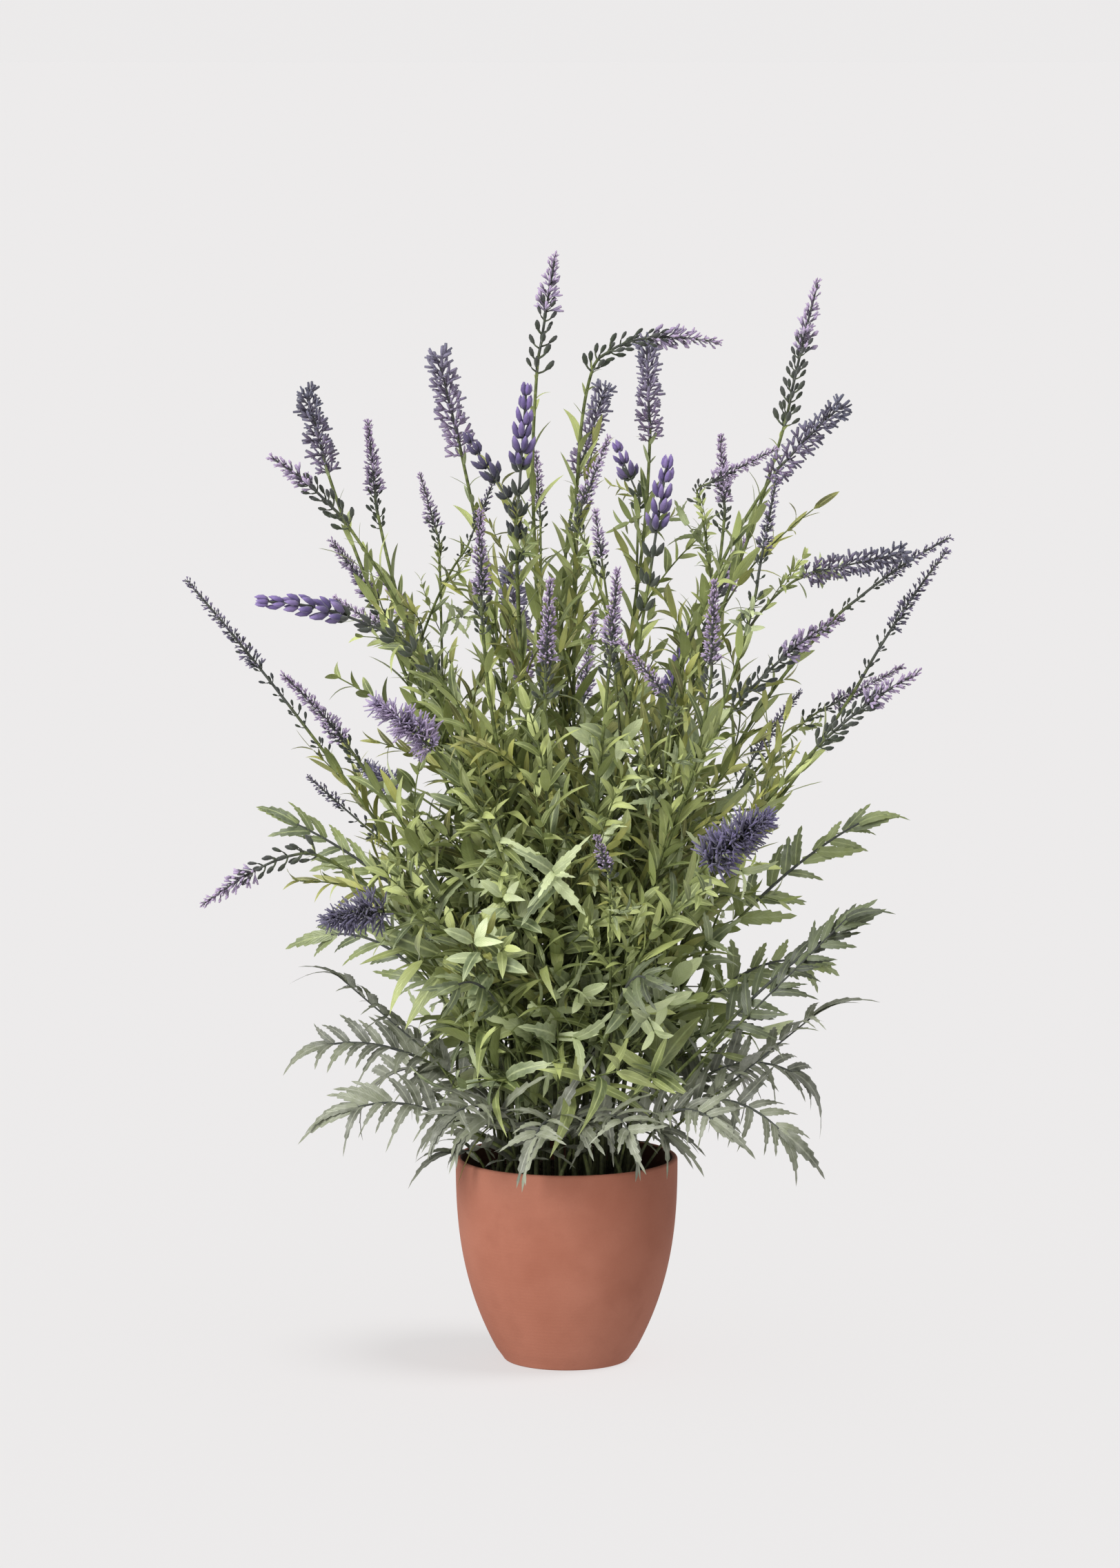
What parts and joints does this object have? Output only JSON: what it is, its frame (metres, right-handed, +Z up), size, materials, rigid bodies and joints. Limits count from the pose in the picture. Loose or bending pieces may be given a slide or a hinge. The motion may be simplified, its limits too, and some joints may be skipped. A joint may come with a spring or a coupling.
{
  "type": "potted lavender",
  "caption": "Upright potted lavender: mixed flower spikes and grey-green and light green fronds standing in the soil of a round tapered clay pot.",
  "frame": {"origin": "centre of the pot's flat foot, on the surface the pot stands on", "axes": "+Z up along the pot's axis, -Y to the front, +X to the right seen from the front"},
  "size_m": [0.5183, 0.3662, 0.7483],
  "materials": {
    "pot": "matt unglazed terracotta",
    "soil": "dark crumbled peat",
    "spire": "tall slender spike, green-black stalked buds below and mauve florets at the tip, on a green stem",
    "stub": "narrow dark spike with spaced tufts of small buds down a bare stem",
    "forked": "chunky grey-purple head of forked florets over a green stem",
    "whorled": "cup-shaped whorls, violet above and green-black below, on a green stem",
    "plume": "soft feathery blue-violet head on a green stem",
    "fine": "narrow fuzzy mauve head over small dark buds, on a green stem",
    "silver_frond": "dusty grey-green toothed leaflets in pairs",
    "green_frond": "light green toothed leaflets in pairs"
  },
  "bodies": {
    "root": {"pot": "pot", "soil": "soil", "spire_01": "spire", "spire_02": "spire", "spire_03": "spire", "spire_04": "spire", "spire_05": "spire", "spire_06": "spire", "spire_07": "spire", "spire_08": "spire", "spire_09": "spire", "stub_01": "stub", "stub_02": "stub", "stub_03": "stub", "stub_04": "stub", "stub_05": "stub", "forked_01": "forked", "forked_02": "forked", "forked_03": "forked", "forked_04": "forked", "forked_05": "forked", "forked_06": "forked", "whorled_01": "whorled", "whorled_02": "whorled", "whorled_03": "whorled", "whorled_04": "whorled", "plume_01": "plume", "plume_02": "plume", "plume_03": "plume", "plume_04": "plume", "fine_01": "fine", "fine_02": "fine", "fine_03": "fine", "fine_04": "fine", "fine_05": "fine", "fine_06": "fine", "fine_07": "fine", "fine_08": "fine", "fine_09": "fine", "silver_frond_01": "silver_frond", "silver_frond_02": "silver_frond", "silver_frond_03": "silver_frond", "silver_frond_04": "silver_frond", "silver_frond_05": "silver_frond", "silver_frond_06": "silver_frond", "silver_frond_07": "silver_frond", "silver_frond_08": "silver_frond", "silver_frond_09": "silver_frond", "silver_frond_10": "silver_frond", "silver_frond_11": "silver_frond", "silver_frond_12": "silver_frond", "green_frond_01": "green_frond", "green_frond_02": "green_frond", "green_frond_03": "green_frond", "green_frond_04": "green_frond", "green_frond_05": "green_frond", "green_frond_06": "green_frond", "green_frond_07": "green_frond", "green_frond_08": "green_frond", "green_frond_09": "green_frond"}
  },
  "joints": []
}
